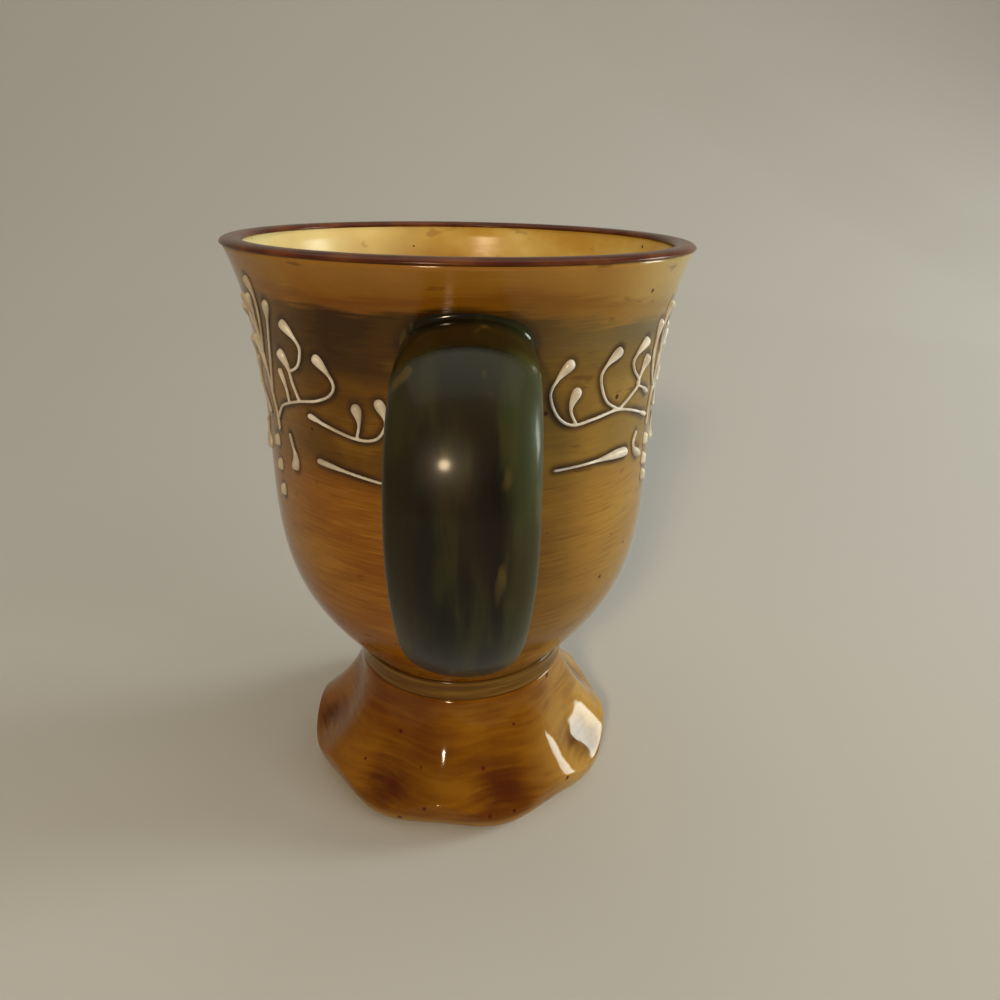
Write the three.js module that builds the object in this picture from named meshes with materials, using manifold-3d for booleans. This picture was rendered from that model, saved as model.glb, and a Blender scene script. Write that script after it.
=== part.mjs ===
// A footed pottery mug: a flared bowl on an eight-sided hollow foot, with a strap handle
// and raised slip-trailed tendrils. Millimetres, +Z up, the handle towards -Y.
import * as THREE from "three";
import { mergeVertices } from "three/addons/utils/BufferGeometryUtils.js";
import Module from "manifold-3d";

const wasm = await Module();
wasm.setup();

// Joints between luted pieces
const seamGap = 0.3;
const registerHeight = 2.0;
const registerClearance = 0.3;

// Foot: eight corners, scooped above their edge, with swelling ridges between them.
// Each flare leans a curve outwards at the neck, and each roll is how far its edge turns under.
const footHeight = 28.2;
const footTopRadius = 25.4;
const footSides = 8;
const footCornerAzimuth = 14.4;
const ridgeRadius = 38.1;
const ridgeHeight = 8.9;
const ridgeNeckFlare = 2.2;
const ridgeNeckDrop = 11.3;
const ridgePull = 0.4;
const ridgeRoll = 5.2;
const cornerRadius = 38.6;
const cornerHeight = 5.3;
const cornerNeckFlare = 1.0;
const cornerNeckDrop = 13.4;
const cornerPull = 1.6;
const cornerRoll = 4.3;
const footRestWidth = 3.6;
const footWall = 5.4;
const footDeck = 5.0;
const hollowFlare = 2.0;
const hollowDrop = 8.0;
const hollowPull = 4.0;

// Waist collar
const collarHeight = 4.8;
const collarRadius = 25.6;
const collarHollow = 0.4;
const collarBore = 17.0;

// Bowl: the pulls set how far each wall curve leans towards its ends
const bowlHeight = 94.8;
const bowlBaseRadius = 25.4;
const bowlBaseSwell = 14.5;
const bowlBaseRise = 16.8;
const bellyRadius = 42.3;
const bellyHeight = 46.5;
const bellyPullDown = 20.5;
const bellyPullUp = 13.6;
const mouthRadius = 48.15;
const mouthPullIn = 6.3;
const mouthPullDown = 15.5;
const wall = 4.2;
const floorThickness = 5.5;
const floorRadius = 16.0;
const floorCornerRise = 2.0;
const floorCornerTuck = 6.0;

// Lip: a flat oval, with a coat of slip over it that wraps down by an angle outside
const lipThickness = 4.4;
const lipCrown = 1.0;
const lipCoat = 0.5;
const lipCoatWrap = 25;

// Handle: drops are measured down from the lip, reaches out from the belly, and stretches
// are shares of the strap's length
const strapWidth = 22.5;
const strapThickness = 9.4;
const strapRootFlare = 1.0;
const strapTaper = 3.0;
const strapTaperFrom = 0.5;
const strapTaperTo = 0.88;
const strapReach = 28.25;
const strapBackDrop = 36.9;
const strapRootDepth = 3.4;
const strapRootStretch = 0.22;
const upperRootDrop = 14.2;
const upperRootShift = 1.0;
const upperArmRise = 1.3;
const upperArmPull = 10.5;
const upperBackPull = 16.5;
const lowerRootDrop = 70.6;
const lowerArmRise = 1.4;
const lowerArmPull = 11.5;
const lowerBackPull = 18.5;
const luteThickness = 1.2;
const luteMargin = 0.8;
const luteStretch = 0.14;

// Slip trails: shoulders are shares of a trail's half width and height. Each swell is a share
// of the length and how full the slip is there.
const trailWidth = 1.3;
const trailHeight = 0.8;
const budWidth = 2.7;
const budHeight = 1.3;
const budLength = 5.4;
const dropWidth = 2.0;
const dropHeight = 1.0;
const dropLength = 2.6;
const shoulderOut = 0.75;
const shoulderUp = 0.65;
const budMostShare = 0.6;
const budSwell = [[0.45, 0.8], [0.75, 1], [0.93, 0.7]];
const dropSwell = [[0, 0.4], [0.2, 0.85], [0.5, 1], [0.8, 0.85], [1, 0.4]];

// Fineness of the solids
const turnSteps = 48;
const wallSteps = 7;
const lipSteps = 4;
const edgeSteps = 4;
const strapSteps = 26;
const strapSides = 20;
const luteSteps = 6;
const collarSteps = 4;
const heightHalvings = 40;
const mergeDistance = 1e-4;
const trailStep = 2.4;

const collarBase = footHeight + seamGap;
const collarTop = collarBase + collarHeight;
const bowlBase = collarTop + seamGap;
const bowlFloor = bowlBase + floorThickness;
const belly = bowlBase + bellyHeight;
const lipTop = bowlBase + bowlHeight;
const lipRound = lipThickness / 2;
const lipCentre = new THREE.Vector2(mouthRadius - lipRound, lipTop - lipCrown);
const bareLipDepth = lipCoat + seamGap;
const bareLipRound = lipRound - bareLipDepth;
const innerBelly = bellyRadius - wall;
const registerRadius = collarBore - registerClearance;
const strapBack = bellyRadius + strapReach;

const amberGlaze = { color: "#a5661f", roughness: 0.18 };
const brownSlip = { color: "#5b2a15", roughness: 0.2 };
const oliveGlaze = { color: "#5f4c1f", roughness: 0.2 };
const darkGlaze = { color: "#23281b", roughness: 0.12 };
const creamSlip = { color: "#e4d8bd", roughness: 0.35 };

// Radius and height of one point of a turned profile
function at(radius, height) {
  return new THREE.Vector2(radius, height);
}

function radians(degrees) {
  return THREE.MathUtils.degToRad(degrees);
}

// Closed solid of a geometry: shared vertices merged, slivers at the axis dropped
function solidOf(geometry) {
  geometry.deleteAttribute("normal");
  geometry.deleteAttribute("uv");
  const merged = mergeVertices(geometry, mergeDistance);
  const corners = merged.index.array;
  const triangles = [];
  for (let i = 0; i < corners.length; i += 3) {
    const [a, b, c] = corners.slice(i, i + 3);
    if (a !== b && b !== c && c !== a) {
      triangles.push(a, b, c);
    }
  }
  const mesh = new wasm.Mesh({
    numProp: 3,
    vertProperties: new Float32Array(merged.attributes.position.array),
    triVerts: new Uint32Array(triangles),
  });
  return new wasm.Manifold(mesh);
}

function geometryOf(solid) {
  const mesh = solid.getMesh();
  const geometry = new THREE.BufferGeometry();
  geometry.setAttribute("position", new THREE.BufferAttribute(mesh.vertProperties, 3));
  geometry.setIndex(new THREE.BufferAttribute(mesh.triVerts, 1));
  geometry.computeVertexNormals();
  return geometry;
}

function pieceOf(name, solid, finish) {
  const piece = new THREE.Mesh(geometryOf(solid), new THREE.MeshStandardMaterial(finish));
  piece.name = name;
  return piece;
}

// Profile of radius and height turned about the mug's axis
function turned(profile) {
  const geometry = new THREE.LatheGeometry(profile, turnSteps);
  geometry.rotateX(Math.PI / 2);
  return geometry;
}

// Rings of equal length skinned one to the next, with both ends closed
function skinned(rings) {
  const sides = rings[0].length;
  const faces = [];
  for (let ring = 0; ring + 1 < rings.length; ring += 1) {
    for (let side = 0; side < sides; side += 1) {
      const a = ring * sides + side;
      const b = ring * sides + ((side + 1) % sides);
      faces.push(a, b, b + sides, a, b + sides, a + sides);
    }
  }
  const last = (rings.length - 1) * sides;
  for (let side = 1; side + 1 < sides; side += 1) {
    faces.push(0, side + 1, side);
    faces.push(last, last + side, last + side + 1);
  }
  const geometry = new THREE.BufferGeometry().setFromPoints(rings.flat());
  geometry.setIndex(faces);
  return geometry;
}

// Point of the lip's oval section at a depth under its surface, in degrees from straight out
function lipPoint(depth, degrees) {
  const out = (lipRound - depth) * Math.cos(radians(degrees));
  const rise = (lipCrown - depth) * Math.sin(radians(degrees));
  return at(lipCentre.x + out, lipCentre.y + rise);
}

// Top half of the lip's section, from outside to inside
function lipArc(depth) {
  const points = [];
  for (let step = 0; step <= lipSteps; step += 1) {
    points.push(lipPoint(depth, (180 * step) / lipSteps));
  }
  return points;
}

// Outer wall of the bowl, in two curves that meet upright at the belly
const lowerWall = new THREE.CubicBezierCurve(
  at(bowlBaseRadius, bowlBase),
  at(bowlBaseRadius + bowlBaseSwell, bowlBase + bowlBaseRise),
  at(bellyRadius, belly - bellyPullDown),
  at(bellyRadius, belly)
);
const upperWall = new THREE.CubicBezierCurve(
  at(bellyRadius, belly),
  at(bellyRadius, belly + bellyPullUp),
  at(mouthRadius - mouthPullIn, lipTop - mouthPullDown),
  at(lipCentre.x + bareLipRound, lipCentre.y)
);

// Inner wall, from the bare lip down to the floor
const innerUpperWall = new THREE.CubicBezierCurve(
  at(lipCentre.x - bareLipRound, lipCentre.y),
  at(mouthRadius - mouthPullIn - wall, lipTop - mouthPullDown),
  at(innerBelly, belly + bellyPullUp),
  at(innerBelly, belly)
);
const innerLowerWall = new THREE.CubicBezierCurve(
  at(innerBelly, belly),
  at(innerBelly, belly - bellyPullDown),
  at(innerBelly - floorCornerTuck, bowlFloor + floorCornerRise),
  at(floorRadius, bowlFloor)
);

// Points of the outer wall, moved outwards along its normal
function outerWall(offset) {
  const points = [];
  for (const curve of [lowerWall, upperWall]) {
    for (let step = points.length ? 1 : 0; step <= wallSteps; step += 1) {
      const along = curve.getTangent(step / wallSteps);
      const outward = at(along.y, -along.x).multiplyScalar(offset);
      points.push(curve.getPoint(step / wallSteps).add(outward));
    }
  }
  return points;
}

// Radius of the outer wall at a height, and how far it leans outwards there
function wallAt(height) {
  const curve = height < belly ? lowerWall : upperWall;
  let low = 0;
  let high = 1;
  for (let halving = 0; halving < heightHalvings; halving += 1) {
    const middle = (low + high) / 2;
    if (curve.getPoint(middle).y < height) {
      low = middle;
    } else {
      high = middle;
    }
  }
  const along = curve.getTangent(low);
  return { radius: curve.getPoint(low).x, lean: Math.atan2(along.x, along.y) };
}

// The bowl's outer shape as a filled solid, grown by an offset, for cutting what meets it
function bowlEnvelope(offset) {
  const profile = outerWall(offset);
  const top = profile[profile.length - 1];
  return solidOf(turned([at(0, profile[0].y), ...profile, at(0, top.y)]));
}

function bowl() {
  const profile = [
    at(0, bowlBase - registerHeight),
    at(registerRadius, bowlBase - registerHeight),
    at(registerRadius, bowlBase),
    ...outerWall(0),
    ...lipArc(bareLipDepth).slice(1),
    ...innerUpperWall.getPoints(wallSteps).slice(1),
    ...innerLowerWall.getPoints(wallSteps).slice(1),
    at(0, bowlFloor),
  ];
  return pieceOf("bowl", solidOf(turned(profile)), amberGlaze);
}

function lipBand() {
  const outside = [lipPoint(0, -lipCoatWrap), ...lipArc(0)];
  const inside = [lipPoint(lipCoat, -lipCoatWrap), ...lipArc(lipCoat)].reverse();
  return pieceOf("lip_band", solidOf(turned([...outside, ...inside, outside[0]])), brownSlip);
}

function waistCollar() {
  const band = [];
  for (let step = 0; step <= collarSteps; step += 1) {
    const hollow = collarHollow * Math.sin((Math.PI * step) / collarSteps);
    band.push(at(collarRadius - hollow, collarBase + (collarHeight * step) / collarSteps));
  }
  const profile = [at(collarBore, collarBase), ...band, at(collarBore, collarTop)];
  return pieceOf("waist_collar", solidOf(turned([...profile, profile[0]])), oliveGlaze);
}

// One upright section of the foot: its hollow, its rest, its rolled edge and its skirt
function footProfile({ radius, height, neckFlare, neckDrop, pull, roll }) {
  const ceiling = footHeight - footDeck;
  const hollowTop = footTopRadius - footWall;
  const hollowMouth = ridgeRadius - ridgeRoll - footRestWidth;
  const hollow = new THREE.CubicBezierCurve(
    at(hollowTop, ceiling),
    at(hollowTop + hollowFlare, ceiling - hollowDrop),
    at(hollowMouth, hollowPull),
    at(hollowMouth, 0)
  );
  const edge = new THREE.EllipseCurve(radius - roll, height, roll, height, -Math.PI / 2, 0);
  const skirt = new THREE.CubicBezierCurve(
    at(radius, height),
    at(radius, height + pull),
    at(footTopRadius + neckFlare, footHeight - neckDrop),
    at(footTopRadius, footHeight)
  );
  return [
    at(0, ceiling),
    ...hollow.getPoints(wallSteps),
    ...edge.getPoints(edgeSteps),
    ...skirt.getPoints(wallSteps).slice(1),
    at(registerRadius, footHeight),
    at(registerRadius, footHeight + registerHeight),
    at(0, footHeight + registerHeight),
  ];
}

function foot() {
  const ridge = footProfile({
    radius: ridgeRadius,
    height: ridgeHeight,
    neckFlare: ridgeNeckFlare,
    neckDrop: ridgeNeckDrop,
    pull: ridgePull,
    roll: ridgeRoll,
  });
  const corner = footProfile({
    radius: cornerRadius,
    height: cornerHeight,
    neckFlare: cornerNeckFlare,
    neckDrop: cornerNeckDrop,
    pull: cornerPull,
    roll: cornerRoll,
  });
  const geometry = turned(ridge);
  const places = geometry.attributes.position;
  for (let i = 0; i < places.count; i += 1) {
    const point = i % ridge.length;
    const turn = (2 * Math.PI * Math.floor(i / ridge.length)) / turnSteps;
    const cornerShare = (1 + Math.cos(footSides * turn)) / 2;
    const place = ridge[point].clone().lerp(corner[point], cornerShare);
    places.setXYZ(i, place.x * Math.sin(turn), -place.x * Math.cos(turn), place.y);
  }
  const piece = pieceOf("foot", solidOf(geometry), amberGlaze);
  piece.rotation.z = radians(footCornerAzimuth);
  return piece;
}

// Middle line of the strap in the plane of the handle
function strapPath() {
  const outAt = (reach, height, aside = 0) => new THREE.Vector3(aside, -reach, height);
  const upperRoot = lipTop - upperRootDrop;
  const lowerRoot = lipTop - lowerRootDrop;
  const back = lipTop - strapBackDrop;
  const path = new THREE.CurvePath();
  path.add(
    new THREE.CubicBezierCurve3(
      outAt(wallAt(upperRoot).radius - strapRootDepth, upperRoot, upperRootShift),
      outAt(strapBack - upperArmPull, upperRoot + upperArmRise, upperRootShift),
      outAt(strapBack, back + upperBackPull),
      outAt(strapBack, back)
    )
  );
  path.add(
    new THREE.CubicBezierCurve3(
      outAt(strapBack, back),
      outAt(strapBack, back - lowerBackPull),
      outAt(strapBack - lowerArmPull, lowerRoot + lowerArmRise),
      outAt(wallAt(lowerRoot).radius - strapRootDepth, lowerRoot)
    )
  );
  return path;
}

// Strap from one share of its path to another, grown all round by a margin
function strapSolid(path, from, to, steps, margin) {
  const rings = [];
  for (let step = 0; step <= steps; step += 1) {
    const share = from + ((to - from) * step) / steps;
    const centre = path.getPoint(share);
    const along = path.getTangent(share);
    const outward = new THREE.Vector3(0, along.z, -along.y);
    const nearRoot = 1 - THREE.MathUtils.smoothstep(Math.min(share, 1 - share), 0, strapRootStretch);
    const taper = strapTaper * THREE.MathUtils.smoothstep(share, strapTaperFrom, strapTaperTo);
    const halfWidth = (strapWidth + strapRootFlare * nearRoot - taper) / 2 + margin;
    const halfThickness = strapThickness / 2 + margin;
    const ring = [];
    for (let side = 0; side < strapSides; side += 1) {
      const angle = (2 * Math.PI * side) / strapSides;
      const across = new THREE.Vector3(halfWidth * Math.cos(angle), 0, 0);
      const through = outward.clone().multiplyScalar(halfThickness * Math.sin(angle));
      ring.push(centre.clone().add(across).add(through));
    }
    rings.push(ring);
  }
  return solidOf(skinned(rings));
}

// The strap handle and the pads of joining slip that hold its two ends to the wall
function handlePieces() {
  const path = strapPath();
  const wallFace = bowlEnvelope(seamGap);
  const luteFace = bowlEnvelope(seamGap + luteThickness);
  const strapFace = bowlEnvelope(seamGap + luteThickness + seamGap);
  const strap = strapSolid(path, 0, 1, strapSteps, 0).subtract(strapFace);
  const upper = strapSolid(path, 0, luteStretch, luteSteps, luteMargin);
  const lower = strapSolid(path, 1 - luteStretch, 1, luteSteps, luteMargin);
  return [
    pieceOf("handle", strap, darkGlaze),
    pieceOf("handle_upper_lute", upper.intersect(luteFace).subtract(wallFace), darkGlaze),
    pieceOf("handle_lower_lute", lower.intersect(luteFace).subtract(wallFace), darkGlaze),
  ];
}

// Place on the bowl: arc along the belly from the handle, drop below the lip, lift off the wall
function onWall(arc, drop, lift) {
  const height = lipTop - drop;
  const { radius, lean } = wallAt(height);
  const out = radius + lift * Math.cos(lean);
  const azimuth = arc / bellyRadius;
  return new THREE.Vector3(
    out * Math.sin(azimuth),
    -out * Math.cos(azimuth),
    height - lift * Math.sin(lean)
  );
}

// Rings of a raised line of slip along a path of arc and drop, at stations of width and height
function trailRings(path, stations) {
  const length = path.getLength();
  return stations.map(({ distance, width, height }) => {
    const share = THREE.MathUtils.clamp(distance / length, 0, 1);
    const centre = path.getPointAt(share);
    const along = path.getTangentAt(share);
    const across = at(along.y, -along.x);
    const corner = (sideways, lift) =>
      onWall(
        centre.x + (across.x * sideways * width) / 2,
        centre.y + (across.y * sideways * width) / 2,
        seamGap + lift * height
      );
    const shoulder = (side) => corner(side * shoulderOut, shoulderUp);
    return [corner(1, 0), shoulder(1), corner(0, 1), shoulder(-1), corner(-1, 0)];
  });
}

function trailPath(points) {
  return new THREE.SplineCurve(
    points.map(([azimuth, drop]) => at(radians(azimuth) * bellyRadius, drop))
  );
}

// Thin trail that ends round, or swells into a teardrop bud
function trail(points, budded = true) {
  const path = trailPath(points);
  const length = path.getLength();
  const stem = { width: trailWidth, height: trailHeight };
  const tip = { width: trailWidth / 2, height: trailHeight / 2 };
  const swell = Math.min(budLength, length * budMostShare);
  const stemEnd = budded ? length - swell : length - trailWidth / 2;
  const stemSteps = Math.max(1, Math.round((stemEnd - trailWidth / 2) / trailStep));
  const stations = [{ distance: 0, ...tip }];
  for (let step = 0; step <= stemSteps; step += 1) {
    const distance = trailWidth / 2 + ((stemEnd - trailWidth / 2) * step) / stemSteps;
    stations.push({ distance, ...stem });
  }
  if (budded) {
    for (const [share, fullness] of budSwell) {
      stations.push({
        distance: stemEnd + swell * share,
        width: budWidth * fullness,
        height: budHeight * fullness,
      });
    }
  }
  stations.push({ distance: length, ...tip });
  return solidOf(skinned(trailRings(path, stations)));
}

// Short oval drop of slip, its length down the wall
function drop(azimuth, depth) {
  const path = trailPath([[azimuth, depth - dropLength / 2], [azimuth, depth + dropLength / 2]]);
  const stations = dropSwell.map(([share, fullness]) => ({
    distance: dropLength * share,
    width: dropWidth * fullness,
    height: dropHeight * fullness,
  }));
  return solidOf(skinned(trailRings(path, stations)));
}

function joined(solids) {
  return solids.reduce((whole, next) => whole.add(next));
}

// Each side's spray: trails by name on the half near the handle, mirrored about the centre to
// the half away from it, then the strokes of its stem and its drops, which aren't mirrored.
// Buds end in a teardrop and lines end round. Each point is an azimuth in degrees from the
// handle and a drop below the lip.
const rightSpray = {
  centre: 66,
  trails: {
    tendril: {
      buds: [
        [[60.5, 32.4], [51.5, 30], [43, 28.6], [34.5, 29.2], [28, 29.6], [23.5, 27.6],
          [21, 23.5], [22.5, 20.7], [26.5, 17.5]],
        [[29, 29.5], [27, 26.4], [29, 22.6]],
        [[44, 28.6], [38.5, 26.3], [35.5, 22], [36.5, 19.5], [41.5, 16.6]],
        [[44, 28.6], [49, 26.6], [52.5, 24.5], [48.5, 21.4], [48, 19.1], [53.5, 16]],
        [[51.5, 24.9], [53.5, 22.3], [56, 19.4]],
      ],
      lines: [[[51.5, 24.9], [55.5, 26], [59, 27.4]]],
    },
    dash: { buds: [[[23, 38], [35.5, 37.9], [44, 37.9], [50.5, 38.2]]], lines: [] },
    hook: { buds: [[[55.5, 34.9], [54, 37.1], [55.5, 39], [59, 40.6]]], lines: [] },
  },
  stem: [
    [[64, 34.8], [64.2, 32], [65.5, 28], [66.7, 22], [68, 16], [69.5, 10.5]],
    [[65.7, 27.3], [62.5, 24.3], [60.2, 20.5], [59.8, 17], [59.8, 13]],
    [[67, 20.5], [64.5, 16], [64.3, 13], [65, 9.8]],
    [[65.2, 29], [68.5, 27], [70.5, 23.5]],
    [[66.3, 24], [69.3, 20.5], [71, 16]],
  ],
  drops: [[65, 38.6], [65, 43], [66, 46.9]],
};
const leftSpray = {
  centre: 60,
  trails: {
    tendril: {
      buds: [
        [[54.2, 31], [52, 29.3], [44.5, 27.5], [37.5, 26.4], [32.5, 24.6], [31.5, 22], [36.5, 17.8]],
        [[44, 27.5], [46, 24.3], [47, 21.3], [50, 18.3]],
        [[47, 22.2], [43, 20.8], [41, 18.5], [41, 16.2], [46, 12.6]],
        [[49, 28.3], [49.5, 25.7], [51.5, 21.7]],
      ],
      lines: [],
    },
    curl: {
      buds: [
        [[41, 29.7], [34.5, 30.9], [26, 32.2], [21, 31.8], [18.5, 29.8], [18, 27.5], [20, 24.3]],
        [[26, 32.2], [25, 29], [26, 25.6]],
      ],
      lines: [],
    },
    dash: { buds: [], lines: [[[39.5, 38.2], [29, 39.1], [19.5, 40.1]]] },
    hook: { buds: [[[51, 34.8], [50, 37.1], [49, 39.6], [50, 42.3]]], lines: [] },
  },
  stem: [
    [[57, 34.7], [57.4, 31.8], [58.7, 28.5], [60, 24.5], [61, 19.5], [61, 14], [60.3, 9]],
    [[58.9, 28], [57, 23.3], [54.6, 18], [52, 13.4], [50, 9.4]],
    [[61, 20.5], [58.2, 16], [56.2, 11.4], [56, 8.2], [57, 5.6]],
    [[60.2, 24], [63, 21], [64.5, 17]],
    [[61.2, 17], [64.5, 13.5], [66.3, 9.5]],
  ],
  drops: [[60, 38], [59.5, 43.1], [59, 48.5]],
};

// A side's points by its sign
function placed(points, side) {
  return points.map(([azimuth, depth]) => [side * azimuth, depth]);
}

function mirrored(points, centre) {
  return points.map(([azimuth, depth]) => [2 * centre - azimuth, depth]);
}

function sidePieces(name, side, { centre, trails, stem, drops }) {
  const pieces = [];
  const add = (node, solid) => pieces.push(pieceOf(`${name}_${node}`, solid, creamSlip));
  for (const [kind, { buds, lines }] of Object.entries(trails)) {
    for (const half of ["near", "far"]) {
      const onHalf = (points) => placed(half === "far" ? mirrored(points, centre) : points, side);
      const strokes = buds.map((points) => trail(onHalf(points)));
      strokes.push(...lines.map((points) => trail(onHalf(points), false)));
      add(`${kind}_${half}`, joined(strokes));
    }
  }
  add("stem", joined(stem.map((points) => trail(placed(points, side)))));
  drops.forEach(([azimuth, depth], index) => {
    add(`drop_${index + 1}`, drop(side * azimuth, depth));
  });
  return pieces;
}

// The mug stands about its own axis; the part's origin lies under the middle of its whole width
const mug = new THREE.Group();
mug.add(bowl(), lipBand(), waistCollar(), foot(), ...handlePieces());
mug.add(...sidePieces("right", 1, rightSpray));
mug.add(...sidePieces("left", -1, leftSpray));
mug.position.y = (strapBack + strapThickness / 2 - mouthRadius) / 2;

const part = new THREE.Group();
part.add(mug);

export default part;
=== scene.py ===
import math

import bpy
from mathutils import Matrix, Vector
from mathutils.geometry import interpolate_bezier
from mathutils.kdtree import KDTree


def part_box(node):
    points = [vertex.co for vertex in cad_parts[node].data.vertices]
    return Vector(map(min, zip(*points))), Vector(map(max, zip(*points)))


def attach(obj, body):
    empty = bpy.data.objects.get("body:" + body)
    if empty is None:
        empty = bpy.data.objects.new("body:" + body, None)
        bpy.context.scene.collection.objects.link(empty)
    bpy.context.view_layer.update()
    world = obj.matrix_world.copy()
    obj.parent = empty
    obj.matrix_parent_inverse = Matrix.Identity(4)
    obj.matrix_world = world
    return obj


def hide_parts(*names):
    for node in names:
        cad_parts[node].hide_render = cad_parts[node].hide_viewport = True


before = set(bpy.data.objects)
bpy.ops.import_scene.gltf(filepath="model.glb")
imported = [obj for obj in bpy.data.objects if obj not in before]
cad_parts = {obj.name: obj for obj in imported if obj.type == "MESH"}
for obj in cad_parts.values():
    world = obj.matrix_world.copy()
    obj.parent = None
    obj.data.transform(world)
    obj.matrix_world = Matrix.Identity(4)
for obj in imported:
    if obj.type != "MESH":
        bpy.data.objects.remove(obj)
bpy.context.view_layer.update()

MM = 0.001

# What the frame gives: the mug's upright axis, its lip and its collar
lip_low, lip_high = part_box("lip_band")
collar_low, collar_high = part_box("waist_collar")
AXIS_Y = (lip_low.y + lip_high.y) / 2
AXIS = Vector((0, AXIS_Y, 0))
MOUTH_RADIUS = (lip_high.x - lip_low.x) / 2
LIP_TOP = lip_high.z
COLLAR_RADIUS = (collar_high.x - collar_low.x) / 2

# Bowl: places are radius and height, and pulls set how far a curve leans towards its ends
SEAM = 0.3 * MM
BOWL_BASE = collar_high.z + SEAM
BOWL_BASE_RADIUS = 25.4 * MM
BASE_SINK = 0.2 * MM
BASE_SETBACK = 0.8 * MM
BASE_TURN_IN = 0.25 * MM
BASE_TURN_UP = 0.05 * MM
BASE_WALL_START = 0.5 * MM
BOWL_SWELL = Vector((39.9, 50.4)) * MM
BELLY = Vector((42.3, 80.1)) * MM
BELLY_PULL_DOWN = 20.5 * MM
BELLY_PULL_UP = 13.6 * MM
MOUTH_PULL = Vector((41.85, 112.9)) * MM
INNER_MOUTH_PULL_OUT = 2.8 * MM
WALL = 4.2 * MM
FLOOR = Vector((16.0, 39.1)) * MM
FLOOR_CORNER = Vector((32.1, 41.1)) * MM
FLOOR_DISH_RADIUS = 8 * MM
FLOOR_DISH = 0.1 * MM
BOWL_SIDES = 256
LOWER_WALL_STEPS = 36
UPPER_WALL_STEPS = 46
INNER_UPPER_STEPS = 16
INNER_LOWER_STEPS = 14
WALL_LOOKUP_STEPS = 60

# Lip: a flat oval roll, drawn in below its middle
LIP_ROUND = 2.2 * MM
LIP_CROWN = 1.0 * MM
LIP_CENTRE = Vector((MOUTH_RADIUS - LIP_ROUND, LIP_TOP - LIP_CROWN))
LIP_TUCK = 0.35 * MM
LIP_DIP = 0.1 * MM
LIP_WRAP = 0.45
LIP_SIDES = 192
LIP_SECTION_SIDES = 24

# Waist collar: it reaches over the seams, with a hollow band between rounded edges
COLLAR_OVERLAP = 0.4 * MM
COLLAR_BORE = 17 * MM
COLLAR_SETBACK = 1.0 * MM
COLLAR_EDGE = 0.3 * MM
COLLAR_HOLLOW = 0.25 * MM
COLLAR_ROUND = 0.35 * MM
COLLAR_ROUND_FROM = 0.75
COLLAR_STEPS = 10
COLLAR_SIDES = 128

# Foot: one section through a ridge and one through a corner
FOOT_TOP = Vector((25.4, 28.2)) * MM
FOOT_DECK_EDGE = Vector((-0.6, 0.25)) * MM
FOOT_SIDES = 8
FOOT_CORNER_AZIMUTH = math.radians(14.4)
RIDGE = {
    "edge": Vector((38.1, 8.9)) * MM,
    "neck": Vector((27.6, 16.9)) * MM,
    "pull": 0.4 * MM,
    "roll": 5.2 * MM,
}
CORNER = {
    "edge": Vector((38.6, 5.3)) * MM,
    "neck": Vector((26.4, 14.8)) * MM,
    "pull": 1.6 * MM,
    "roll": 4.3 * MM,
}
CORNER_SHARPNESS = 1.1
SCOOP_DENT = 0.5 * MM
HOLLOW_TOP = Vector((20.0, 23.2)) * MM
HOLLOW_NECK = Vector((22.0, 15.2)) * MM
HOLLOW_MOUTH = 29.3 * MM
HOLLOW_PULL = 4.0 * MM
HOLLOW_STEPS = 10
ROLL_STEPS = 14
SKIRT_STEPS = 36
FOOT_TURN_STEPS = 192

# Handle: reach from the mug's axis and height, with the upper root shifted a little to one side.
# The crest is how far towards -Y the strap's arm turns into its outside.
STRAP_HALF_WIDTH = 11.25 * MM
STRAP_HALF_THICKNESS = 4.7 * MM
ROOT_SHIFT = 1.0 * MM
UPPER_ROOT = Vector((38.6, 114.1)) * MM
UPPER_ARM = Vector((60.05, 115.5)) * MM
STRAP_BACK = Vector((70.55, 91.5)) * MM
UPPER_BACK_PULL = 16.5 * MM
LOWER_BACK_PULL = 18.5 * MM
LOWER_ARM = Vector((59.05, 59.2)) * MM
LOWER_ROOT = Vector((35.4, 57.8)) * MM
LOWER_TAPER = 0.13
UPPER_TAPER = 0.08
CREST = 45 * MM
ROOT_SINK = 1.0 * MM
STRAP_SECTION_STEPS = 10
STRAP_STEPS = 40

# Slip round the roots of the handle
LUTE_REACH = 1.3 * MM
LUTE_SUNK = 0.8 * MM
LUTE_TALLER = 0.1 * MM
LUTE_NARROWER = 0.1 * MM
LUTE_UNEVEN = 0.18
LUTE_LOBES = 3
LUTE_LOBE_TURN = 0.6
LUTE_SIDES = 48
LUTE_STEPS = 6

# Kinds of slip stroke, in millimetres: the length over which a stroke swells, then the half width
# and height that it reaches and those that it starts with
STROKES = {
    "bud": (4.8, (1.05, 0.9), (0.32, 0.46)),
    "twig": (4.2, (0.85, 0.8), (0.3, 0.44)),
    "blunt": (8, (0.58, 0.62), (0.3, 0.42)),
    "comet": (11, (1.05, 0.9), (0.3, 0.42)),
    "drop": (0, (0.85, 0.75), (0.85, 0.75)),
}
DROP_LENGTH = 2.8
MOST_SWELL = 0.6
RIPE_FROM = 0.75
THINNEST = 0.03
STROKE_STEPS = 12
NEIGHBOUR_PULL = 6
BEAD_ROUNDING = 4
SLIP_VOXEL = 0.17 * MM
SLIP_SMOOTHING = 0.5
SLIP_SMOOTH_ROUNDS = 6
HALO_REACH = 2.1 * MM
HALO_CUTS = 2
MERGE_DISTANCE = 0.001 * MM

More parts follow.
